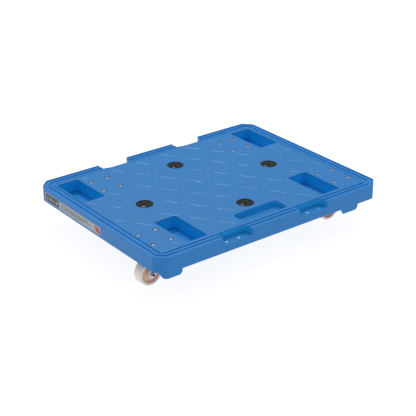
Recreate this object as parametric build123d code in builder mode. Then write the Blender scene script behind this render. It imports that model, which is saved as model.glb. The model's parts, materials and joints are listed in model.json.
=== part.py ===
from build123d import *
import os

# Low resin platform dolly on four swivel casters, millimetres.
# Origin on the floor under the middle of the deck. +X runs along the long side, +Y to the back, +Z up.
# The casters of a dolly turned half round stand in the wheel wells of the one below it.

os.makedirs("parts", exist_ok=True)

# ---- deck, outer sizes ---------------------------------------------------------------------
length = 600.0
width = 460.0
rim_top = 102.0
deck_top = 100.5
skirt_bottom = 67.5
corner_cut = 20.5
corner_bend = 9.0
bend_loss = 0.24
skin = 3.5
wall = 4.0

# ---- rim: three fine ridges with sunk strips between them -----------------------------------
ridge_width = 2.4
ridge_insets = [0.0, 11.6, 22.6]
strip_depth = 0.7
ridge_chamfer = 0.6
rim_width = ridge_insets[-1] + ridge_width

# ---- how near an edge or corner must be to a stated place to be picked for a fillet ----------
near = 0.01
clear_of = 1.0

# ---- casters ---------------------------------------------------------------------------------
back_caster_x = 182.0
front_caster_x = 245.0
caster_y = 138.0
wheel_diameter = 54.0
wheel_width = 24.0
trail = 18.0
seat_z = 68.0
casters = {
    "front_left": (-front_caster_x, -caster_y),
    "front_right": (front_caster_x, -caster_y),
    "back_left": (-back_caster_x, caster_y),
    "back_right": (back_caster_x, caster_y),
}

# ---- wheel wells in the deck -----------------------------------------------------------------
well_width = 53.0
well_length = 111.0
well_radius = 4.0
well_wall = 3.0
well_mouth = 0.8
well_y = 141.0
wells = [
    (-back_caster_x, -well_y),
    (back_caster_x, -well_y),
    (-front_caster_x, well_y),
    (front_caster_x, well_y),
]
drain_length = 26.0
drain_width = 4.0
drain_offset_x = 20.0
drain_offset_y = 12.0

# ---- link recesses in the long sides ----------------------------------------------------------
recess_from = 66.0
recess_to = 141.0
recess_depth = rim_width
recess_radius = 14.0
recess_flare = 4.0
recess_flare_radius = 3.5
shelf_z = 85.5
shelf_thickness = 3.0
link_hole_radius = 5.0
link_hole_x = [94.0, 125.5]
link_hole_inset = 11.5

# ---- hand slot --------------------------------------------------------------------------------
slot_length = 119.0
slot_back_y = -157.0
slot_front_y = -196.0
slot_radius = 12.0
slot_mouth = 2.5
ledge_z = 88.5
ledge_front_y = -178.0
notch_x = 57.0
notch_y = -158.0
notch_radius = 4.2
notch_depth = 1.5
lip_round = 1.1
lip_gap = 0.2

# ---- anti-slip pads ---------------------------------------------------------------------------
pad_radius = 19.0
pad_x = 173.0
pad_y = 126.0
pad_top = rim_top + 0.5
pad_seat_depth = 1.2
pad_clearance = 0.3
pad_ring_width = 6.0
pad_shoulder_drop = 1.6
pad_dish_depth = 1.8
pad_dish_slope = 3.5
pad_button_radius = 3.2
pad_button_height = 0.9
stem_radius = 4.0
stem_length = 4.0
barb_radius = 5.5
barb_land = 1.0
barb_gap = 0.3
pads = {
    "left": (-pad_x, 0.0),
    "right": (pad_x, 0.0),
    "front": (0.0, -pad_y),
    "back": (0.0, pad_y),
}

# ---- underside ribs ---------------------------------------------------------------------------
rib = 3.0
rib_pitch = 46.0
rib_bottom = 75.0
ribs_across = 12
ribs_along = 8

# ---- lugs below the skirt ---------------------------------------------------------------------
lug_bottom = 55.5
lug_starts = [-292.0, 185.0]
lug_length = 49.0
lug_slant = 7.0
lug_round = 9.0

# ---- sticker on the left short side -----------------------------------------------------------
label_from_y = -22.0
label_to_y = 200.0
label_bottom = 72.0
label_top = 91.0
label_thickness = 0.4
label_radius = 2.0

# ---- caster mounting plate, race and fork -----------------------------------------------------
plate_x = 58.0
plate_y = 68.0
plate_thickness = 2.5
plate_corner = 6.0
bolt_pitch_x = 43.0
bolt_pitch_y = 53.0
bolt_radius = 2.5
bolt_hole_radius = 2.75
bolt_head_radius = 4.8
bolt_head_height = 2.0
bolt_head_round = 1.6
bolt_seat_radius = 5.8
bolt_seat_depth = 2.3
bolt_column_radius = 7.5
bolt_overrun = 2.0
nut_across_corners = 9.2
nut_height = 4.0
thread_clearance = 0.1

kingpin_radius = 5.0
kingpin_head_radius = 8.0
kingpin_head = 1.2
kingpin_foot_radius = 7.5
kingpin_foot = 2.5
kingpin_foot_round = 1.8
kingpin_fit = 0.05
kingpin_head_fit = 0.1
crown_radius = 20.0
crown_hole_radius = 6.0
crown_top = 63.1
sheet = 2.5
dust_ring_inner = 21.0
dust_ring_outer = 22.5
dust_ring_bottom = 63.6

upper_ball_radius = 2.0
upper_race_radius = 15.0
upper_ball_z = 64.3
upper_ball_count = 14
lower_ball_radius = 1.5
lower_race_radius = 9.5
lower_ball_z = 59.8
lower_ball_count = 12
ball_clearance = 0.2
race_washer_top = 59.0
race_washer_radius = 13.0

# ---- wheel and axle ---------------------------------------------------------------------------
leg_gap = 27.6
bush_length = 27.0
bush_radius = 5.0
axle_radius = 3.0
axle_clearance = 0.1
wheel_bore_clearance = 0.06
tread_round = 2.5
hub_radius = 9.0
hub_length = 26.4
dish_outer = 21.6
dish_depth = 5.0
dish_draft = 1.0
eye_radius = 9.0
leg_half_width = 11.0
leg_corner_round = 4.0
leg_bend_below_crown_back = 4.0
leg_bend_below_crown_front = 6.0
leg_bend_above_axle_back = 6.0
leg_bend_above_axle_front = 4.0
crown_bend = 1.5
axle_head_radius = 5.2
axle_head = 3.0
axle_head_round = 2.0
axle_nut_across_corners = 11.0
axle_nut = 4.0
axle_nut_chamfer = 0.7
axle_overrun = 2.0
axle_chamfer = 0.8

# ---- values worked out from the above ---------------------------------------------------------
half_length = length / 2
half_width = width / 2
strip_z = deck_top - strip_depth
skin_bottom = deck_top - skin
recess_centre = (recess_from + recess_to) / 2
recess_span = recess_to - recess_from
slot_y = (slot_back_y + slot_front_y) / 2
slot_width = slot_back_y - slot_front_y
lip_ring = notch_radius + lip_gap + lip_round
well_floor = skirt_bottom + well_wall
recess_centres = [
    (side * recess_centre, front * (half_width - recess_depth / 2)) for side in (-1, 1) for front in (-1, 1)
]
crown_bottom = crown_top - sheet
axle_z = wheel_diameter / 2
plate_bottom = seat_z - plate_thickness
leg_outer = leg_gap / 2 + sheet


def save(piece, label):
    """Name a finished piece and write it to its own file."""
    piece.label = label
    export_step(piece, f"parts/{label}.step")


# ==== deck =====================================================================================
def deck_outline(inset, mode=Mode.ADD):
    """The deck's plan outline, moved inwards: cut corners with a soft bend at each end of the cut."""
    with BuildSketch(Plane.XY, mode=Mode.PRIVATE) as outline:
        Rectangle(length - 2 * inset, width - 2 * inset)
        chamfer(outline.vertices(), length=corner_cut - (2 - 2**0.5) * inset)
        fillet(outline.vertices(), radius=corner_bend - bend_loss * inset)
    add(outline.sketch, mode=mode)


def well_outlines(margin):
    for x, y in wells:
        with Locations((x, y)):
            RectangleRounded(
                well_width + 2 * margin, well_length + 2 * margin, well_radius + margin, mode=Mode.SUBTRACT
            )


def seat_outlines():
    """Frame, cross ribs and bolt columns over each caster plate."""
    for x, y in casters.values():
        with Locations((x, y)):
            Rectangle(plate_x + 2 * rib, rib, mode=Mode.SUBTRACT)
            Rectangle(rib, plate_y + 2 * rib, mode=Mode.SUBTRACT)
        with Locations((x, y - plate_y / 2), (x, y + plate_y / 2)):
            Rectangle(plate_x + rib, rib, mode=Mode.SUBTRACT)
        with Locations((x - plate_x / 2, y), (x + plate_x / 2, y)):
            Rectangle(rib, plate_y + rib, mode=Mode.SUBTRACT)
        with Locations((x, y)):
            Circle(kingpin_head_radius + rib, mode=Mode.SUBTRACT)
            with GridLocations(bolt_pitch_x, bolt_pitch_y, 2, 2):
                Circle(bolt_column_radius, mode=Mode.SUBTRACT)


def rib_outlines():
    with GridLocations(rib_pitch, 0, ribs_across, 1):
        Rectangle(rib, width, mode=Mode.SUBTRACT)
    with GridLocations(0, rib_pitch, 1, ribs_along):
        Rectangle(length, rib, mode=Mode.SUBTRACT)


# Two lugs hang from the skirt on each long side: a ring as thick as the skirt, kept only where a
# lug outline crosses it. One end of a lug is slanted and the other is rounded. The back pair is
# the front pair turned half round.
with BuildPart() as lugs:
    with BuildSketch(Plane.XY.offset(lug_bottom)):
        deck_outline(0)
        deck_outline(wall, mode=Mode.SUBTRACT)
    extrude(amount=skirt_bottom - lug_bottom)
    with BuildSketch(Plane.XZ.offset(half_width)):
        for start in lug_starts:
            with BuildLine():
                Polyline(
                    (start + lug_length - lug_round, lug_bottom),
                    (start + lug_slant, lug_bottom),
                    (start, skirt_bottom),
                    (start + lug_length, skirt_bottom),
                    (start + lug_length, lug_bottom + lug_round),
                )
                RadiusArc(
                    (start + lug_length, lug_bottom + lug_round),
                    (start + lug_length - lug_round, lug_bottom),
                    lug_round,
                )
            make_face()
    extrude(amount=-half_width, mode=Mode.INTERSECT)
    add(lugs.part.rotate(Axis.Z, 180))

# A half-round lip bends round the thumb notch, and stops where the mouth of the hand slot begins.
with BuildPart() as lip:
    with Locations((notch_x, notch_y, deck_top)):
        Torus(lip_ring, lip_round)
    with BuildSketch(Plane.XY.offset(deck_top)):
        with Locations((notch_x, notch_y)):
            Circle(lip_ring + 2 * lip_round)
        with Locations((0, slot_y)):
            RectangleRounded(
                slot_length + 2 * slot_mouth, slot_width + 2 * slot_mouth, slot_radius + slot_mouth,
                mode=Mode.SUBTRACT,
            )
    extrude(amount=2 * lip_round, mode=Mode.INTERSECT)

with BuildPart() as deck:
    with BuildSketch(Plane.XY.offset(skirt_bottom)):
        deck_outline(0)
    extrude(amount=rim_top - skirt_bottom)

    # strips between the ridges, then the field inside the last ridge
    for outer_ridge, inner_ridge in zip(ridge_insets, ridge_insets[1:]):
        with BuildSketch(Plane.XY.offset(strip_z)):
            deck_outline(outer_ridge + ridge_width)
            deck_outline(inner_ridge, mode=Mode.SUBTRACT)
        extrude(amount=rim_top - strip_z, mode=Mode.SUBTRACT)
    with BuildSketch(Plane.XY.offset(deck_top)):
        deck_outline(rim_width)
    extrude(amount=rim_top - deck_top, mode=Mode.SUBTRACT)
    chamfer(deck.edges().group_by(Axis.Z)[-1], length=ridge_chamfer)

    # wheel wells and hand slot, open at the top, with soft mouths
    with BuildSketch(Plane.XY.offset(well_floor)):
        with Locations(*wells):
            RectangleRounded(well_width, well_length, well_radius)
    extrude(amount=rim_top - well_floor, mode=Mode.SUBTRACT)
    with BuildSketch(Plane.XY.offset(ledge_z)):
        with Locations((0, slot_y)):
            RectangleRounded(slot_length, slot_width, slot_radius)
    extrude(amount=rim_top - ledge_z, mode=Mode.SUBTRACT)
    field_edges = [
        edge
        for edge in deck.edges().filter_by_position(Axis.Z, deck_top - near, deck_top + near)
        if abs(edge.center().X) < half_length - rim_width - clear_of
        and abs(edge.center().Y) < half_width - rim_width - clear_of
    ]
    slot_edges = [edge for edge in field_edges if abs(edge.center().X) < slot_length / 2 + clear_of]
    well_edges = [edge for edge in field_edges if edge not in slot_edges]
    fillet(slot_edges, radius=slot_mouth)
    fillet(well_edges, radius=well_mouth)

    # link recesses, open at the long sides, with rounded inner corners and flared mouths
    with BuildSketch(Plane.XY.offset(shelf_z)) as recess_sketch:
        with Locations(*recess_centres):
            Rectangle(recess_span, recess_depth)
        inner_corners = [v for v in recess_sketch.vertices() if abs(v.Y) < half_width - clear_of]
        fillet(inner_corners, radius=recess_radius)
        with GridLocations(0, width + recess_flare, 1, 2):
            Rectangle(length / 2, recess_flare)
        mouth_corners = [
            v for v in recess_sketch.vertices()
            if abs(abs(v.Y) - half_width) < near and abs(v.X) < length / 4 - clear_of
        ]
        fillet(mouth_corners, radius=recess_flare_radius)
    extrude(amount=rim_top - shelf_z, mode=Mode.SUBTRACT)

    # hollow underside: below the seats, between the seat ribs, then between all the ribs
    with BuildSketch(Plane.XY.offset(skirt_bottom)):
        deck_outline(wall)
        well_outlines(well_wall)
    extrude(amount=seat_z - skirt_bottom, mode=Mode.SUBTRACT)
    with BuildSketch(Plane.XY.offset(seat_z)):
        deck_outline(wall)
        well_outlines(well_wall)
        seat_outlines()
    extrude(amount=rib_bottom - seat_z, mode=Mode.SUBTRACT)
    with BuildSketch(Plane.XY.offset(rib_bottom)):
        deck_outline(wall)
        well_outlines(well_wall)
        seat_outlines()
        rib_outlines()
        with Locations(*recess_centres):
            Rectangle(recess_span + 2 * rib, recess_depth + 2 * rib, mode=Mode.SUBTRACT)
        with Locations((0, slot_y)):
            Rectangle(slot_length + 2 * rib, slot_width + 2 * rib, mode=Mode.SUBTRACT)
    extrude(amount=skin_bottom - rib_bottom, mode=Mode.SUBTRACT)

    # space under each shelf, and under the ledge of the hand slot
    with BuildSketch(Plane.XY.offset(rib_bottom)):
        for x, y in recess_centres:
            with Locations((x, y - (wall / 2 if y > 0 else -wall / 2))):
                Rectangle(recess_span, recess_depth - wall)
    extrude(amount=shelf_z - shelf_thickness - rib_bottom, mode=Mode.SUBTRACT)
    with BuildSketch(Plane.XY.offset(rib_bottom)):
        with Locations((0, (slot_back_y + ledge_front_y) / 2)):
            Rectangle(slot_length, slot_back_y - ledge_front_y - 2 * rib)
    extrude(amount=ledge_z - shelf_thickness - rib_bottom, mode=Mode.SUBTRACT)

    # the hand slot goes right through in front of its ledge
    with BuildSketch(Plane.XY.offset(rib_bottom)):
        with Locations((0, (ledge_front_y + slot_front_y) / 2)):
            Rectangle(slot_length - 2 * slot_radius, ledge_front_y - slot_front_y)
    extrude(amount=ledge_z - rib_bottom, mode=Mode.SUBTRACT)

    # shallow thumb notch at the back right corner of the hand slot, with a raised lip round it
    with BuildSketch(Plane((notch_x, notch_y, deck_top - notch_depth))):
        Circle(notch_radius)
    extrude(amount=notch_depth, mode=Mode.SUBTRACT)
    add(lip.part)

    # holes: link pins, pad stems, caster bolts, well drains
    with Locations(*[
        (side * x, front * (half_width - link_hole_inset), shelf_z)
        for x in link_hole_x for side in (-1, 1) for front in (-1, 1)
    ]):
        Hole(link_hole_radius, depth=shelf_thickness)
    with Locations(*[(x, y, deck_top) for x, y in pads.values()]):
        CounterBoreHole(
            stem_radius + pad_clearance, pad_radius + pad_clearance, pad_seat_depth, depth=skin
        )
    for x, y in casters.values():
        with Locations((x, y, deck_top)):
            with GridLocations(bolt_pitch_x, bolt_pitch_y, 2, 2):
                CounterBoreHole(
                    bolt_hole_radius, bolt_seat_radius, bolt_seat_depth, depth=rim_top - skirt_bottom
                )
    with BuildSketch(Plane.XY.offset(well_floor)):
        for x, y in wells:
            outward = 1 if x > 0 else -1
            inward = -1 if y > 0 else 1
            with Locations((x + outward * drain_offset_x, y + inward * drain_offset_y)):
                SlotOverall(drain_length, drain_width, rotation=90)
    extrude(amount=skirt_bottom - well_floor, mode=Mode.SUBTRACT)

    # shallow seat for the sticker
    with BuildSketch(Plane(
        origin=(-half_length, (label_from_y + label_to_y) / 2, (label_bottom + label_top) / 2),
        x_dir=(0, -1, 0), z_dir=(-1, 0, 0),
    )):
        RectangleRounded(
            label_to_y - label_from_y + 2 * pad_clearance,
            label_top - label_bottom + 2 * pad_clearance,
            label_radius + pad_clearance,
        )
    extrude(amount=-label_thickness, mode=Mode.SUBTRACT)

    add(lugs.part)

save(deck.part, "deck")

# ==== sticker ==================================================================================
with BuildPart() as label:
    with BuildSketch(Plane(
        origin=(-half_length, (label_from_y + label_to_y) / 2, (label_bottom + label_top) / 2),
        x_dir=(0, -1, 0), z_dir=(-1, 0, 0),
    )):
        RectangleRounded(label_to_y - label_from_y, label_top - label_bottom, label_radius)
    extrude(amount=-label_thickness)
save(label.part, "label")


# ==== anti-slip pad ============================================================================
def build_pad(x, y):
    """Rubber disc, rounded down to its edge, with a button in a shallow dish and a barbed stem."""
    seat = deck_top - pad_seat_depth
    barb_top = skin_bottom - barb_gap
    stem_end = barb_top - stem_length
    dish_rim = pad_radius - pad_ring_width
    dish_floor = pad_top - pad_dish_depth
    shoulder_radius = (pad_ring_width**2 + pad_shoulder_drop**2) / (2 * pad_shoulder_drop)
    button_top = dish_floor + pad_button_height
    with BuildPart() as pad:
        with BuildSketch(Plane((x, y, 0), x_dir=(1, 0, 0), z_dir=(0, -1, 0))):
            with BuildLine():
                Polyline(
                    (0, stem_end),
                    (stem_radius - barb_land, stem_end),
                    (barb_radius, barb_top - barb_land),
                    (barb_radius, barb_top),
                    (stem_radius, barb_top),
                    (stem_radius, seat),
                    (pad_radius, seat),
                    (pad_radius, pad_top - pad_shoulder_drop),
                )
                RadiusArc((pad_radius, pad_top - pad_shoulder_drop), (dish_rim, pad_top), -shoulder_radius)
                Spline(
                    (dish_rim, pad_top), (dish_rim - pad_dish_slope, dish_floor),
                    tangents=((-1, -0.5), (-1, 0)),
                )
                Polyline(
                    (dish_rim - pad_dish_slope, dish_floor),
                    (pad_button_radius + pad_button_height / 2, dish_floor),
                    (pad_button_radius, button_top),
                    (0, button_top),
                    (0, stem_end),
                )
            make_face()
        revolve(axis=Axis((x, y, 0), (0, 0, 1)))
    return pad.part


for side, (x, y) in pads.items():
    save(build_pad(x, y), f"anti_slip_pad_{side}")


# ==== caster pieces, each built round its own swivel axis ======================================
def build_plate(x, y):
    """Pressed mounting plate with four bolt holes, a ball race and a dust ring."""
    with BuildPart() as plate:
        with BuildSketch(Plane((x, y, plate_bottom))):
            RectangleRounded(plate_x, plate_y, plate_corner)
        extrude(amount=plate_thickness)
        with BuildSketch(Plane((x, y, dust_ring_bottom))):
            Circle(dust_ring_outer)
            Circle(dust_ring_inner, mode=Mode.SUBTRACT)
        extrude(amount=plate_bottom - dust_ring_bottom)
        with Locations((x, y, upper_ball_z)):
            Torus(upper_race_radius, upper_ball_radius + ball_clearance, mode=Mode.SUBTRACT)
        with Locations((x, y, seat_z)):
            CounterBoreHole(
                kingpin_radius + kingpin_fit, kingpin_head_radius + kingpin_head_fit, kingpin_head
            )
            with GridLocations(bolt_pitch_x, bolt_pitch_y, 2, 2):
                Hole(bolt_hole_radius)
    return plate.part


def build_kingpin(x, y):
    """Rivet that hangs the fork and its lower race from the plate."""
    foot_top = race_washer_top - sheet
    with BuildPart() as kingpin:
        with BuildSketch(Plane((x, y, foot_top - kingpin_foot))):
            Circle(kingpin_foot_radius)
        extrude(amount=kingpin_foot)
        fillet(kingpin.edges().group_by(Axis.Z)[0], radius=kingpin_foot_round)
        with BuildSketch(Plane((x, y, foot_top))):
            Circle(kingpin_radius)
        extrude(amount=seat_z - foot_top)
        with BuildSketch(Plane((x, y, seat_z - kingpin_head))):
            Circle(kingpin_head_radius)
        extrude(amount=kingpin_head)
    return kingpin.part


def build_balls(x, y, height, race_radius, ball_radius, count):
    with BuildPart() as balls:
        with Locations((x, y, height)):
            with PolarLocations(race_radius, count):
                Sphere(ball_radius)
    return balls.part


def build_lower_race(x, y):
    """Grooved washer under the fork's crown."""
    with BuildPart() as race:
        with BuildSketch(Plane((x, y, race_washer_top - sheet))):
            Circle(race_washer_radius)
            Circle(kingpin_radius + kingpin_fit, mode=Mode.SUBTRACT)
        extrude(amount=sheet)
        with Locations((x, y, lower_ball_z)):
            Torus(lower_race_radius, lower_ball_radius + ball_clearance, mode=Mode.SUBTRACT)
    return race.part


def build_fork(x, y):
    """Pressed fork: a grooved crown and two legs that reach back to the axle."""
    eye_x = x - trail
    with BuildPart() as fork:
        with BuildSketch(Plane((x, y, crown_bottom))):
            Circle(crown_radius)
            Rectangle(2 * crown_radius, 2 * leg_outer, mode=Mode.INTERSECT)
        extrude(amount=sheet)
        for side in (-1, 1):
            inner = y + side * leg_gap / 2
            with BuildSketch(Plane((0, inner, 0), x_dir=(1, 0, 0), z_dir=(0, -1, 0))):
                with BuildLine():
                    Polyline(
                        (eye_x - eye_radius, axle_z),
                        (eye_x - eye_radius, axle_z + leg_bend_above_axle_back),
                        (x - leg_half_width, crown_bottom - leg_bend_below_crown_back),
                        (x - leg_half_width, crown_top),
                        (x + leg_half_width, crown_top),
                        (x + leg_half_width, crown_bottom - leg_bend_below_crown_front),
                        (eye_x + eye_radius, axle_z + leg_bend_above_axle_front),
                        (eye_x + eye_radius, axle_z),
                    )
                    ThreePointArc(
                        (eye_x + eye_radius, axle_z),
                        (eye_x, axle_z - eye_radius),
                        (eye_x - eye_radius, axle_z),
                    )
                make_face()
            extrude(amount=-side * sheet)
        leg_corners = [
            edge for edge in fork.edges().filter_by(GeomType.LINE)
            if abs(edge.length - sheet) < near and axle_z + clear_of < edge.center().Z < crown_bottom
        ]
        fillet(leg_corners, radius=leg_corner_round)
        bends = [
            edge for edge in fork.edges().filter_by_position(Axis.Z, crown_top - near, crown_top + near)
            if edge.geom_type == GeomType.LINE and abs(abs(edge.center().Y - y) - leg_outer) < near
        ]
        fillet(bends, radius=crown_bend)
        with Locations((x, y, upper_ball_z)):
            Torus(upper_race_radius, upper_ball_radius + ball_clearance, mode=Mode.SUBTRACT)
        with Locations((x, y, lower_ball_z)):
            Torus(lower_race_radius, lower_ball_radius + ball_clearance, mode=Mode.SUBTRACT)
        with Locations((x, y, crown_top)):
            Hole(crown_hole_radius, depth=sheet)
        with Locations(Location((eye_x, y, axle_z), (90, 0, 0))):
            Hole(axle_radius + axle_clearance)
    return fork.part


def build_wheel(x, y):
    """One-piece nylon wheel: rounded tread, dished sides, hub a little proud."""
    half = wheel_width / 2
    radius = wheel_diameter / 2
    bore = bush_radius + wheel_bore_clearance
    with BuildPart() as wheel:
        with BuildSketch(Plane((x - trail, y, axle_z), x_dir=(0, 1, 0), z_dir=(1, 0, 0))):
            with BuildLine():
                Polyline(
                    (0, bore),
                    (hub_length / 2, bore),
                    (hub_length / 2, hub_radius),
                    (half - dish_depth, hub_radius + dish_draft),
                    (half - dish_depth, dish_outer - dish_draft),
                    (half, dish_outer),
                    (half, radius - tread_round),
                )
                RadiusArc((half, radius - tread_round), (half - tread_round, radius), -tread_round)
                Polyline((half - tread_round, radius), (0, radius), (0, bore))
            make_face()
            mirror(about=Plane.YZ)
        revolve(axis=Axis((x - trail, y, axle_z), (0, 1, 0)))
    return wheel.part


def build_bush(x, y):
    """Steel sleeve clamped between the legs; the wheel turns on it."""
    with BuildPart() as bush:
        with BuildSketch(Plane((x - trail, y + bush_length / 2, axle_z), x_dir=(1, 0, 0), z_dir=(0, -1, 0))):
            Circle(bush_radius)
            Circle(axle_radius + axle_clearance, mode=Mode.SUBTRACT)
        extrude(amount=bush_length)
    return bush.part


def build_axle_bolt(x, y):
    """Axle with a low domed head at the back leg; its thread ends just past the nut at the front."""
    with BuildPart() as axle:
        with BuildSketch(Plane((x - trail, y + leg_outer, axle_z), x_dir=(1, 0, 0), z_dir=(0, 1, 0))):
            Circle(axle_head_radius)
        extrude(amount=axle_head)
        fillet(axle.edges().group_by(Axis.Y)[-1], radius=axle_head_round)
        with BuildSketch(Plane((x - trail, y + leg_outer, axle_z), x_dir=(1, 0, 0), z_dir=(0, -1, 0))):
            Circle(axle_radius)
        extrude(amount=2 * leg_outer + axle_nut + axle_overrun)
        chamfer(axle.edges().group_by(Axis.Y)[0], length=axle_chamfer)
    return axle.part


def build_axle_nut(x, y):
    with BuildPart() as nut:
        with BuildSketch(Plane((x - trail, y - leg_outer, axle_z), x_dir=(1, 0, 0), z_dir=(0, -1, 0))):
            RegularPolygon(axle_nut_across_corners / 2, 6)
            Circle(axle_radius + axle_clearance, mode=Mode.SUBTRACT)
        extrude(amount=axle_nut)
        outer_rim = [edge for edge in nut.edges().group_by(Axis.Y)[0] if edge.geom_type == GeomType.LINE]
        chamfer(outer_rim, length=axle_nut_chamfer)
    return nut.part


def build_mounting_bolts(x, y):
    """Four domed screws, sunk in the deck, that go down through the deck and the plate."""
    shank_end = plate_bottom - nut_height - bolt_overrun
    head_seat = deck_top - bolt_seat_depth
    with BuildPart() as bolts:
        with BuildSketch(Plane((x, y, shank_end))):
            with GridLocations(bolt_pitch_x, bolt_pitch_y, 2, 2):
                Circle(bolt_radius)
        extrude(amount=head_seat - shank_end)
        with BuildSketch(Plane((x, y, head_seat))):
            with GridLocations(bolt_pitch_x, bolt_pitch_y, 2, 2):
                Circle(bolt_head_radius)
        extrude(amount=bolt_head_height)
        fillet(bolts.edges().group_by(Axis.Z)[-1], radius=bolt_head_round)
    return bolts.part


def build_mounting_nuts(x, y):
    with BuildPart() as nuts:
        with BuildSketch(Plane((x, y, plate_bottom - nut_height))):
            with GridLocations(bolt_pitch_x, bolt_pitch_y, 2, 2):
                RegularPolygon(nut_across_corners / 2, 6)
                Circle(bolt_radius + thread_clearance, mode=Mode.SUBTRACT)
        extrude(amount=nut_height)
    return nuts.part


for corner, (x, y) in casters.items():
    save(build_plate(x, y), f"{corner}_mounting_plate")
    save(build_kingpin(x, y), f"{corner}_kingpin")
    save(
        build_balls(x, y, upper_ball_z, upper_race_radius, upper_ball_radius, upper_ball_count),
        f"{corner}_upper_balls",
    )
    save(
        build_balls(x, y, lower_ball_z, lower_race_radius, lower_ball_radius, lower_ball_count),
        f"{corner}_lower_balls",
    )
    save(build_lower_race(x, y), f"{corner}_lower_race")
    save(build_fork(x, y), f"{corner}_fork")
    save(build_wheel(x, y), f"{corner}_wheel")
    save(build_bush(x, y), f"{corner}_axle_bush")
    save(build_axle_bolt(x, y), f"{corner}_axle_bolt")
    save(build_axle_nut(x, y), f"{corner}_axle_nut")
    save(build_mounting_bolts(x, y), f"{corner}_mounting_bolts")
    save(build_mounting_nuts(x, y), f"{corner}_mounting_nuts")
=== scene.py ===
import json
import math

import bmesh
import bpy
from mathutils import Matrix, Vector


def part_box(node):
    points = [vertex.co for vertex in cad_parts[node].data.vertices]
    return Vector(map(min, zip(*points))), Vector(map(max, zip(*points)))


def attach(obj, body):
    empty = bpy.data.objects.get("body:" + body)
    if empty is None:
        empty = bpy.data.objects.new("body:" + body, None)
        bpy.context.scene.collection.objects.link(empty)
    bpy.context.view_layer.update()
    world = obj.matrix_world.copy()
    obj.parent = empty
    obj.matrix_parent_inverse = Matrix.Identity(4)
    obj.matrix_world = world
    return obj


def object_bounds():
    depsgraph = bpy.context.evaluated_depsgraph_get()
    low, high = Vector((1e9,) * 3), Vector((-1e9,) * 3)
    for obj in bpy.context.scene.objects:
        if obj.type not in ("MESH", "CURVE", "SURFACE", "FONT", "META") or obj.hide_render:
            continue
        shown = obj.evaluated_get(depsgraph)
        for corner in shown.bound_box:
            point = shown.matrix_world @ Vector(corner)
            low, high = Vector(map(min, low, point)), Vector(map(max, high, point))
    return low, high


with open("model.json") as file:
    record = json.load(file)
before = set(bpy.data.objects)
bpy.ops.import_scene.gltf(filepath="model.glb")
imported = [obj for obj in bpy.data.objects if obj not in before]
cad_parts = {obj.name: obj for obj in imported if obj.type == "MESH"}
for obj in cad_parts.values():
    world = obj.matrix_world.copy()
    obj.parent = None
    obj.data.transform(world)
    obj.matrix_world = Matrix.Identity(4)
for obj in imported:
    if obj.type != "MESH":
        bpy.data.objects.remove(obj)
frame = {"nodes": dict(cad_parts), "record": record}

nodes = frame["nodes"]
cad_low, cad_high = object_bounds()
MM = 0.001

# ---- the deck's own sizes, as in the CAD -------------------------------------------------------
RIM_TOP = 102 * MM
RIM_RISE = 1.5 * MM
RIM_WIDTH = 25 * MM
CORNER_CUT = 20.5 * MM
WELL_FLOOR = 70.5 * MM

# ---- places read from the frame ----------------------------------------------------------------
_, deck_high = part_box("deck")
CORNERS = ["front_left", "front_right", "back_left", "back_right"]
SIDES = ["left", "right", "front", "back"]


def middle(node):
    low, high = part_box(node)
    return (low + high) / 2


deck_top = RIM_TOP - RIM_RISE
field_x = deck_high.x - RIM_WIDTH
field_y = deck_high.y - RIM_WIDTH
caster_seats = [middle(f"{corner}_mounting_plate") for corner in CORNERS]
pad_centres = [middle(f"anti_slip_pad_{side}") for side in SIDES]
openings = [
    box["box_m"] for box in frame["record"]["physics"]["openings"] if box["box_m"][1][2] > deck_top
]


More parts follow.
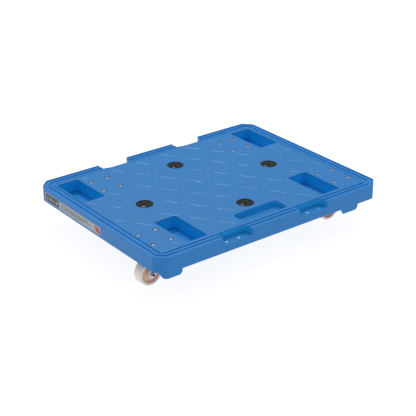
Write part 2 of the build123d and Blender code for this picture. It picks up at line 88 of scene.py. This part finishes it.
# ==== node tree helper ==========================================================================
class Shader:
    """A material with one Principled shader, and short calls for the nodes that feed it."""

    def __init__(self, name):
        self.material = bpy.data.materials.new(name)
        self.material.use_nodes = True
        self.tree = self.material.node_tree
        self.shader = self.tree.nodes["Principled BSDF"]
        self.place = self.tree.nodes.new("ShaderNodeTexCoord").outputs["Object"]

    def node(self, kind, **settings):
        made = self.tree.nodes.new(kind)
        for key, value in settings.items():
            setattr(made, key, value)
        return made

    def feed(self, socket, value):
        """Join a socket to another node's output, or set it to a plain value."""
        if isinstance(value, bpy.types.NodeSocket):
            self.tree.links.new(value, socket)
        else:
            socket.default_value = value

    def math(self, operation, a, b=0.0, clamp=False):
        made = self.node("ShaderNodeMath", operation=operation, use_clamp=clamp)
        self.feed(made.inputs[0], a)
        self.feed(made.inputs[1], b)
        return made.outputs[0]

    def vector(self, operation, a, b=(0.0, 0.0, 0.0)):
        made = self.node("ShaderNodeVectorMath", operation=operation)
        self.feed(made.inputs[0], a)
        self.feed(made.inputs[1], b)
        return made.outputs["Value" if operation in ("DOT_PRODUCT", "LENGTH") else "Vector"]

    def parts(self, vector):
        made = self.node("ShaderNodeSeparateXYZ")
        self.feed(made.inputs[0], vector)
        return made.outputs

    def stretched(self, scale):
        return self.vector("MULTIPLY", self.place, scale)

    def noise(self, scale, detail=4.0, roughness=0.55, vector=None, distortion=0.0):
        made = self.node("ShaderNodeTexNoise")
        self.feed(made.inputs["Vector"], self.place if vector is None else vector)
        self.feed(made.inputs["Scale"], scale)
        self.feed(made.inputs["Detail"], detail)
        self.feed(made.inputs["Roughness"], roughness)
        self.feed(made.inputs["Distortion"], distortion)
        return made.outputs["Fac"]

    def smooth(self, value, low, high, to_low=0.0, to_high=1.0):
        """value, eased from to_low at low to to_high at high."""
        made = self.node("ShaderNodeMapRange", interpolation_type="SMOOTHSTEP")
        self.feed(made.inputs["Value"], value)
        self.feed(made.inputs["From Min"], low)
        self.feed(made.inputs["From Max"], high)
        self.feed(made.inputs["To Min"], to_low)
        self.feed(made.inputs["To Max"], to_high)
        return made.outputs["Result"]

    def between(self, value, low, high, soft):
        """1 where low < value < high, with soft edges."""
        up = self.smooth(value, low - soft, low + soft)
        down = self.smooth(value, high - soft, high + soft, 1.0, 0.0)
        return self.math("MULTIPLY", up, down)

    def mix(self, amount, a, b):
        made = self.node("ShaderNodeMix", data_type="RGBA")
        self.feed(made.inputs["Factor"], amount)
        self.feed(made.inputs["A"], rgba(a))
        self.feed(made.inputs["B"], rgba(b))
        return made.outputs["Result"]

    def edges(self, radius, strength):
        """How much an edge stands out, for edge wear and for painted edge highlights: the bevelled
        normal leaves the true one there.
        """
        bevel = self.node("ShaderNodeBevel", samples=4)
        bevel.inputs["Radius"].default_value = radius
        true_normal = self.node("ShaderNodeNewGeometry").outputs["Normal"]
        agree = self.vector("DOT_PRODUCT", bevel.outputs["Normal"], true_normal)
        return self.math("MULTIPLY", self.math("SUBTRACT", 1.0, agree), strength, clamp=True)

    def bump(self, height, distance):
        made = self.node("ShaderNodeBump")
        made.inputs["Strength"].default_value = 1.0
        made.inputs["Distance"].default_value = distance
        self.feed(made.inputs["Height"], height)
        return made.outputs["Normal"]

    def finish(self, colour, roughness, normal, **plain):
        """Feed the shader; plain values go straight to its own sockets."""
        self.feed(self.shader.inputs["Base Color"], colour)
        self.feed(self.shader.inputs["Roughness"], roughness)
        self.feed(self.shader.inputs["Normal"], normal)
        for key, value in plain.items():
            self.shader.inputs[key].default_value = value
        return self.material


def rgba(colour):
    if isinstance(colour, (tuple, list)):
        return (*colour, 1.0)
    return colour


def paint(node, material):
    node.data.materials.clear()
    node.data.materials.append(material)


# ==== materials =================================================================================
def resin_material():
    """Injection-moulded polypropylene: hazy grained field, satin rim and skirt, hollow walls painted
    pale as painted fill light, hollow shelves and floors in painted shade.
    """
    s = Shader("deck_resin")
    # field: the flat deck inside the rim
    x, y, z = s.parts(s.place)
    in_x = s.smooth(s.math("ABSOLUTE", x), field_x - 0.8 * MM, field_x, 1.0, 0.0)
    in_y = s.smooth(s.math("ABSOLUTE", y), field_y - 0.8 * MM, field_y, 1.0, 0.0)
    high = s.smooth(z, deck_top - 1.2 * MM, deck_top - 0.3 * MM)
    field = s.math("MULTIPLY", s.math("MULTIPLY", in_x, in_y), high)
    # hollows that take painted fill light and painted shade: wells, hand slot, link recesses and
    # underside, but not the skirt's outside
    off_end = s.smooth(s.math("ABSOLUTE", x), deck_high.x - 4 * MM, deck_high.x - 3 * MM, 1.0, 0.0)
    off_side = s.smooth(s.math("ABSOLUTE", y), deck_high.y - 4 * MM, deck_high.y - 3 * MM, 1.0, 0.0)
    low = s.smooth(z, deck_top - 3 * MM, deck_top - 1.5 * MM, 1.0, 0.0)
    reach = s.math("ADD", s.math("ABSOLUTE", x), s.math("ABSOLUTE", y))
    # on the cut face of a corner, |x| + |y| is this sum
    corner_line = deck_high.x + deck_high.y - CORNER_CUT
    off_corner = s.smooth(reach, corner_line - 6 * MM, corner_line - 5 * MM, 1.0, 0.0)
    hollow_light_mask = s.math("MULTIPLY", s.math("MULTIPLY", off_end, off_side), s.math("MULTIPLY", low, off_corner))
    well_floor = s.smooth(z, WELL_FLOOR + 1.0 * MM, WELL_FLOOR + 7.0 * MM, 1.0, 0.0)

    # each zone has its own tone; in a hollow the walls are painted paler as painted fill light, and
    # shelves and floors are darker than the walls as painted shade
    cloud = s.noise(9.0, 3.0)
    mottle = s.noise(70.0, 5.0, 0.6)
    satin = s.mix(cloud, (0.003, 0.170, 0.495), (0.006, 0.186, 0.535))
    hazy = s.mix(mottle, (0.007, 0.154, 0.430), (0.015, 0.174, 0.470))
    wall_fill_light = s.mix(cloud, (0.005, 0.330, 0.750), (0.008, 0.350, 0.800))
    floor_painted_shade = s.mix(cloud, (0.003, 0.200, 0.550), (0.006, 0.225, 0.600))
    shelf_painted_shade = s.mix(cloud, (0.004, 0.150, 0.410), (0.007, 0.165, 0.440))
    facing_up = s.smooth(s.parts(s.node("ShaderNodeNewGeometry").outputs["Normal"])[2], 0.5, 0.9)
    level_painted_shade = s.mix(well_floor, shelf_painted_shade, floor_painted_shade)
    inside = s.mix(s.math("MAXIMUM", facing_up, well_floor), wall_fill_light, level_painted_shade)
    # in hollows the painted fill light and painted shade take the place of the rim's own tone
    body = s.mix(hollow_light_mask, s.mix(field, satin, hazy), inside)

    # fine scratches in patches, then edges lightened by rub and a painted highlight, then the tops of
    # the tread painted pale as a highlight
    scratch_a = s.noise(1.0, 2.0, 0.5, s.stretched((18.0, 900.0, 40.0)), 0.3)
    scratch_b = s.noise(1.0, 2.0, 0.5, s.stretched((760.0, 26.0, 40.0)), 0.4)
    scratches = s.math("MAXIMUM", s.smooth(scratch_a, 0.70, 0.78), s.smooth(scratch_b, 0.71, 0.79))
    patches = s.smooth(s.noise(6.0, 2.0), 0.48, 0.66)
    scuffs = s.math("MULTIPLY", s.math("MULTIPLY", scratches, patches), 0.35)
    body = s.mix(scuffs, body, (0.10, 0.32, 0.68))
    # edges painted lighter: partly rub wear, partly a painted highlight along the rim ridges
    rub_and_highlight = s.edges(0.9 * MM, 2.6)
    rub_and_highlight = s.math("MULTIPLY", rub_and_highlight, s.smooth(s.noise(40.0, 4.0), 0.30, 0.62, 0.35, 1.0))
    body = s.mix(rub_and_highlight, body, (0.110, 0.36, 0.78))
    # tops of the taller dashes painted pale: a painted highlight on that set, with some wear
    raised = s.smooth(z, deck_top + 0.34 * MM, deck_top + 0.52 * MM)
    wear_and_highlight = s.math("MULTIPLY", raised, field)
    wear_and_highlight = s.math("MULTIPLY", wear_and_highlight, s.smooth(s.noise(55.0, 4.0), 0.30, 0.60, 0.40, 1.0))
    body = s.mix(s.math("MULTIPLY", wear_and_highlight, 0.9), body, (0.200, 0.430, 0.820))

    grain = s.noise(1300.0, 2.0, 0.6)
    coarse_grain = s.noise(420.0, 3.0, 0.7)
    relief = s.math("ADD", grain, coarse_grain)
    relief = s.math("MULTIPLY", relief, s.smooth(field, 0.0, 1.0, 0.18, 1.0))
    roughness = s.smooth(mottle, 0.25, 0.75, 0.36, 0.46)
    roughness = s.math("ADD", roughness, s.math("MULTIPLY", field, 0.10))
    roughness = s.math("SUBTRACT", roughness, s.math("MULTIPLY", wear_and_highlight, 0.22))
    return s.finish(
        body, roughness, s.bump(relief, 0.10 * MM), **{"IOR": 1.49, "Specular IOR Level": 0.38}
    )


def rubber_material():
    """Black rubber, smooth and a little dusty."""
    s = Shader("pad_rubber")
    dust = s.smooth(s.noise(120.0, 6.0, 0.7), 0.50, 0.85, 0.0, 0.4)
    colour = s.mix(dust, (0.004, 0.005, 0.005), (0.020, 0.021, 0.020))
    fine = s.noise(1500.0, 3.0, 0.7)
    roughness = s.smooth(s.noise(200.0, 4.0), 0.3, 0.7, 0.12, 0.18)
    return s.finish(
        colour, roughness, s.bump(fine, 0.03 * MM), **{"IOR": 1.50, "Specular IOR Level": 0.20}
    )


def steel_material(name, tone, rough, streak=(30.0, 30.0, 600.0)):
    """Plated steel: faint rolled streaks, stretched by streak, and a mottled plating tint."""
    s = Shader(name)
    tint = s.noise(90.0, 4.0, 0.6)
    cool = (tone[0] * 0.93, tone[1] * 0.96, tone[2])
    warm = (tone[0], tone[1] * 0.99, tone[2] * 0.96)
    colour = s.mix(tint, cool, warm)
    streaks = s.noise(1.0, 3.0, 0.6, s.stretched(streak))
    # edges painted lighter: a painted highlight along the edges
    colour = s.mix(s.math("MULTIPLY", s.edges(0.5 * MM, 1.6), 0.6), colour, (0.86, 0.87, 0.88))
    roughness = s.smooth(streaks, 0.25, 0.75, rough - 0.07, rough + 0.09)
    return s.finish(colour, roughness, s.bump(streaks, 0.02 * MM), Metallic=1.0)


def dark_steel_material():
    """Black oxide over steel, thin at its edges."""
    s = Shader("dark_steel")
    colour = s.mix(s.noise(300.0, 4.0), (0.012, 0.012, 0.013), (0.030, 0.029, 0.028))
    colour = s.mix(s.math("MULTIPLY", s.edges(0.4 * MM, 1.5), 0.5), colour, (0.22, 0.21, 0.20))
    roughness = s.smooth(s.noise(500.0, 3.0), 0.3, 0.7, 0.32, 0.48)
    return s.finish(colour, roughness, s.bump(s.noise(900.0, 2.0), 0.02 * MM), Metallic=0.55)


def wheel_material(corner):
    """Natural nylon: pale tread, dished sides warmer and darker deeper in the dish, partly the nylon's
    own tone and partly painted shade, dirt picked up where it rolls.
    """
    s = Shader(f"wheel_nylon_{corner}")
    centre = middle(f"{corner}_wheel")
    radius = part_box(f"{corner}_wheel")[1].z - centre.z
    offset = s.vector("SUBTRACT", s.place, tuple(centre))
    around = s.vector("LENGTH", s.vector("MULTIPLY", offset, (1.0, 0.0, 1.0)))
    across = s.math("ABSOLUTE", s.parts(offset)[1])
    mottle = s.noise(110.0, 5.0, 0.6)
    pale = s.mix(mottle, (0.78, 0.73, 0.67), (0.86, 0.82, 0.77))
    warm = s.mix(mottle, (0.74, 0.47, 0.33), (0.82, 0.55, 0.41))
    # the dish is painted warm and darker towards the wheel's middle plane: partly the nylon's own tone,
    # partly painted shade in the recess
    inside = s.smooth(around, radius - 6.5 * MM, radius - 4.5 * MM, 1.0, 0.0)
    dish_tone_and_shade = s.smooth(across, 7.5 * MM, 11.8 * MM, 1.0, 0.45)
    colour = s.mix(s.math("MULTIPLY", inside, dish_tone_and_shade), pale, warm)
    rolled = s.smooth(around, radius - 1.2 * MM, radius - 0.3 * MM)
    dirt = s.smooth(s.noise(160.0, 6.0, 0.7), 0.50, 0.76, 0.0, 0.35)
    colour = s.mix(s.math("MULTIPLY", rolled, dirt), colour, (0.30, 0.27, 0.23))
    fine = s.noise(1100.0, 3.0, 0.6)
    roughness = s.smooth(mottle, 0.3, 0.7, 0.34, 0.48)
    return s.finish(
        colour, roughness, s.bump(fine, 0.03 * MM),
        **{"Subsurface Weight": 0.25, "Subsurface Scale": 0.002, "IOR": 1.53},
    )


def label_material():
    """Generic sticker: silver-grey film, a dark block at one end, plain bars, a red end patch."""
    s = Shader("label_film")
    low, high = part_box("label")
    _, y, z = s.parts(s.place)
    along = s.math("DIVIDE", s.math("SUBTRACT", high.y, y), high.y - low.y)
    up = s.math("DIVIDE", s.math("SUBTRACT", z, low.z), high.z - low.z)
    film = s.mix(s.noise(60.0, 4.0), (0.30, 0.33, 0.36), (0.40, 0.42, 0.44))
    dark = s.math("MULTIPLY", s.between(along, 0.012, 0.26, 0.002), s.between(up, 0.06, 0.94, 0.02))
    colour = s.mix(dark, film, (0.006, 0.009, 0.013))
    for start, end in ((0.040, 0.060), (0.085, 0.125), (0.150, 0.170), (0.195, 0.235)):
        bar = s.math("MULTIPLY", s.between(along, start, end, 0.002), s.between(up, 0.34, 0.62, 0.02))
        colour = s.mix(s.math("MULTIPLY", bar, 0.75), colour, (0.42, 0.46, 0.50))
    for start, end, height in ((0.30, 0.78, 0.70), (0.30, 0.84, 0.50), (0.30, 0.70, 0.30)):
        level = s.between(up, height - 0.055, height + 0.055, 0.02)
        line = s.math("MULTIPLY", s.between(along, start, end, 0.002), level)
        colour = s.mix(s.math("MULTIPLY", line, 0.85), colour, (0.055, 0.060, 0.068))
    slope = s.math("SUBTRACT", along, s.math("MULTIPLY", s.math("SUBTRACT", 1.0, up), 0.05))
    mark = s.math("MULTIPLY", s.between(slope, 0.885, 0.965, 0.003), s.between(up, 0.16, 0.84, 0.02))
    colour = s.mix(s.math("MULTIPLY", mark, 0.92), colour, (0.36, 0.015, 0.012))
    grime = s.smooth(s.noise(30.0, 5.0, 0.7), 0.5, 0.8, 0.0, 0.18)
    colour = s.mix(grime, colour, (0.20, 0.20, 0.19))
    roughness = s.smooth(s.noise(80.0, 3.0), 0.3, 0.7, 0.28, 0.42)
    return s.finish(colour, roughness, s.bump(s.noise(220.0, 3.0), 0.02 * MM))


def floor_material():
    """White acrylic of a light table: lit from below as well, so shadows on it stay faint."""
    s = Shader("light_table")
    colour = s.mix(s.noise(3.0, 3.0), (0.13, 0.13, 0.13), (0.15, 0.15, 0.15))
    s.shader.inputs["Emission Color"].default_value = (1.0, 1.0, 1.0, 1.0)
    return s.finish(
        colour, 0.75, s.bump(s.noise(300.0, 3.0), 0.02 * MM),
        **{"Emission Strength": 0.90, "Specular IOR Level": 0.2},
    )


resin = resin_material()
rubber = rubber_material()
zinc = steel_material("zinc_steel", (0.60, 0.61, 0.63), 0.34)
nickel = steel_material("screw_steel", (0.27, 0.33, 0.39), 0.50, (400.0, 400.0, 60.0))
bright = steel_material("ball_steel", (0.74, 0.75, 0.77), 0.14)
oxide = dark_steel_material()
film = label_material()

paint(nodes["deck"], resin)
paint(nodes["label"], film)
for side in SIDES:
    paint(nodes[f"anti_slip_pad_{side}"], rubber)
for corner in CORNERS:
    for name in ("mounting_plate", "kingpin", "lower_race", "fork", "axle_bush", "axle_nut"):
        paint(nodes[f"{corner}_{name}"], zinc)
    for name in ("mounting_bolts", "mounting_nuts"):
        paint(nodes[f"{corner}_{name}"], nickel)
    for name in ("upper_balls", "lower_balls"):
        paint(nodes[f"{corner}_{name}"], bright)
    paint(nodes[f"{corner}_axle_bolt"], oxide)
    paint(nodes[f"{corner}_wheel"], wheel_material(corner))


# ==== raised tread on the deck ==================================================================
# Dashes lie on the sides of a grid of diamonds, with a gap at each crossing. Those that lean one
# way stand higher than the others, so only their tops get the pale colour: a painted highlight on that
# one set, with some wear.
PITCH_X = 35.8 * MM
PITCH_Y = 51.3 * MM
CROSSING_GAP = 6.5 * MM
DASH_HALF_WIDTH = 1.3 * MM
DASH_HEIGHTS = {-1: 0.75 * MM, 1: 0.42 * MM}
DASH_SINK = 0.05 * MM
DASH_STEPS = 6
SECTION_STEPS = 6
END_FULLNESS = 3.2
TIP_SIZE = 0.12
TEST_STEPS = 24
FEWEST_CLEAR = 10

# bare deck left round each feature
RIM_MARGIN = 6 * MM
PAD_MARGIN_RADIUS = 40 * MM
SEAT_HALF_X = 34 * MM
SEAT_HALF_Y = 40 * MM
OPENING_MARGIN_X = 8 * MM
OPENING_MARGIN_Y = 9 * MM


def clear_of_features(x, y):
    """True where the flat deck has room for a dash."""
    if abs(x) > field_x - RIM_MARGIN or abs(y) > field_y - RIM_MARGIN:
        return False
    for pad in pad_centres:
        if math.hypot(x - pad.x, y - pad.y) < PAD_MARGIN_RADIUS:
            return False
    for seat in caster_seats:
        if abs(x - seat.x) < SEAT_HALF_X and abs(y - seat.y) < SEAT_HALF_Y:
            return False
    for low, high in openings:
        in_x = low[0] - OPENING_MARGIN_X < x < high[0] + OPENING_MARGIN_X
        in_y = low[1] - OPENING_MARGIN_Y < y < high[1] + OPENING_MARGIN_Y
        if in_x and in_y:
            return False
    return True


def add_dash(mesh, start, end, height):
    """A low bar with a rounded back, thinning out at both ends."""
    along = (end - start).normalized()
    side = Vector((-along.y, along.x, 0.0))
    section = [math.pi * i / SECTION_STEPS for i in range(SECTION_STEPS + 1)]
    rings = []
    for step in range(DASH_STEPS + 1):
        t = step / DASH_STEPS
        swell = min(1.0, END_FULLNESS * math.sqrt(max(0.0, t * (1.0 - t))) + TIP_SIZE)
        centre = start.lerp(end, t)
        rings.append([
            mesh.verts.new(
                centre + side * (DASH_HALF_WIDTH * swell * math.cos(a))
                + Vector((0, 0, deck_top - DASH_SINK + height * swell * math.sin(a)))
            )
            for a in section
        ])
    for ring, following in zip(rings, rings[1:]):
        for i in range(len(section) - 1):
            mesh.faces.new((ring[i], ring[i + 1], following[i + 1], following[i]))
        mesh.faces.new((ring[-1], ring[0], following[0], following[-1]))
    mesh.faces.new(rings[0])
    mesh.faces.new(list(reversed(rings[-1])))


def build_tread():
    mesh = bmesh.new()
    columns = int(field_x / PITCH_X) + 1
    rows = int(field_y / PITCH_Y) + 1
    for i in range(-columns, columns + 1):
        for j in range(-rows, rows + 1):
            if (i + j) % 2:
                continue
            crossing = Vector((i * PITCH_X, j * PITCH_Y, 0.0))
            for lean in (-1, 1):
                following = Vector(((i + lean) * PITCH_X, (j + 1) * PITCH_Y, 0.0))
                along = (following - crossing).normalized()
                start = crossing + along * CROSSING_GAP
                end = following - along * CROSSING_GAP
                # only the stretch that lies on clear deck is kept
                samples = [start.lerp(end, k / TEST_STEPS) for k in range(TEST_STEPS + 1)]
                clear = [p for p in samples if clear_of_features(p.x, p.y)]
                if len(clear) >= FEWEST_CLEAR:
                    add_dash(mesh, clear[0], clear[-1], DASH_HEIGHTS[lean])
    bmesh.ops.recalc_face_normals(mesh, faces=mesh.faces)
    data = bpy.data.meshes.new("deck_tread")
    mesh.to_mesh(data)
    mesh.free()
    for face in data.polygons:
        face.use_smooth = True
    tread = bpy.data.objects.new("deck_tread", data)
    bpy.context.scene.collection.objects.link(tread)
    data.materials.append(resin)
    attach(tread, "chassis")


build_tread()


# ==== studio ====================================================================================
FLOOR_SIZE = 110.0
FLOOR_DROP = 0.02 * MM
# heights here are the upward part of a direction: 0 is level and 1 is straight up
HORIZON_HEIGHT = 0.25
OVERHEAD_HEIGHT = 0.85
HORIZON_STRENGTH = 0.30
OVERHEAD_STRENGTH = 1.15


def add_floor():
    bpy.ops.mesh.primitive_plane_add(size=FLOOR_SIZE, location=(0, 0, cad_low.z - FLOOR_DROP))
    floor = bpy.context.object
    floor.name = "studio_floor"
    floor.data.materials.append(floor_material())


def add_light(name, place, target, size, power):
    data = bpy.data.lights.new(name, "AREA")
    data.shape = "DISK"
    data.size = size
    data.energy = power
    lamp = bpy.data.objects.new(name, data)
    bpy.context.scene.collection.objects.link(lamp)
    lamp.location = place
    lamp.rotation_euler = (Vector(target) - Vector(place)).to_track_quat("-Z", "Y").to_euler()
    lamp.visible_camera = False


def add_camera():
    """Long lens, looking down at the front-left corner."""
    azimuth = math.radians(-37.594)
    elevation = math.radians(25.722)
    roll = math.radians(-0.152)
    distance = 2.4258
    aim = Vector((-0.0811, -0.1016, RIM_TOP))
    back = Vector((
        math.sin(azimuth) * math.cos(elevation),
        -math.cos(azimuth) * math.cos(elevation),
        math.sin(elevation),
    ))
    level_right = Vector((math.cos(azimuth), math.sin(azimuth), 0.0))
    level_up = back.cross(level_right)
    right = level_right * math.cos(roll) + level_up * math.sin(roll)
    up = back.cross(right)
    data = bpy.data.cameras.new("photo_view")
    data.lens = 99.6
    data.sensor_width = 36.0
    data.clip_end = 60.0
    camera = bpy.data.objects.new("photo_view", data)
    bpy.context.scene.collection.objects.link(camera)
    turn = Matrix((right, up, back)).transposed().to_4x4()
    camera.matrix_world = Matrix.Translation(aim + back * distance) @ turn
    bpy.context.scene.camera = camera


def add_world():
    """Soft white surround, brighter overhead than at the horizon."""
    world = bpy.data.worlds.new("studio_air")
    world.use_nodes = True
    tree = world.node_tree
    direction = tree.nodes.new("ShaderNodeTexCoord").outputs["Generated"]
    parts = tree.nodes.new("ShaderNodeSeparateXYZ")
    tree.links.new(direction, parts.inputs[0])
    ramp = tree.nodes.new("ShaderNodeMapRange")
    ramp.interpolation_type = "SMOOTHSTEP"
    ramp.inputs["From Min"].default_value = HORIZON_HEIGHT
    ramp.inputs["From Max"].default_value = OVERHEAD_HEIGHT
    ramp.inputs["To Min"].default_value = HORIZON_STRENGTH
    ramp.inputs["To Max"].default_value = OVERHEAD_STRENGTH
    tree.links.new(parts.outputs["Z"], ramp.inputs["Value"])
    tree.nodes["Background"].inputs["Color"].default_value = (1.0, 1.0, 1.0, 1.0)
    tree.links.new(ramp.outputs["Result"], tree.nodes["Background"].inputs["Strength"])
    bpy.context.scene.world = world


add_floor()
add_light("overhead", (0.40, 1.10, 2.30), (0, 0, 0.1), 0.25, 16.0)
add_light("front_right", (1.35, -1.10, 1.85), (0, 0, 0.05), 0.5, 3.0)
add_world()
bpy.context.scene.view_settings.view_transform = "Standard"
add_camera()
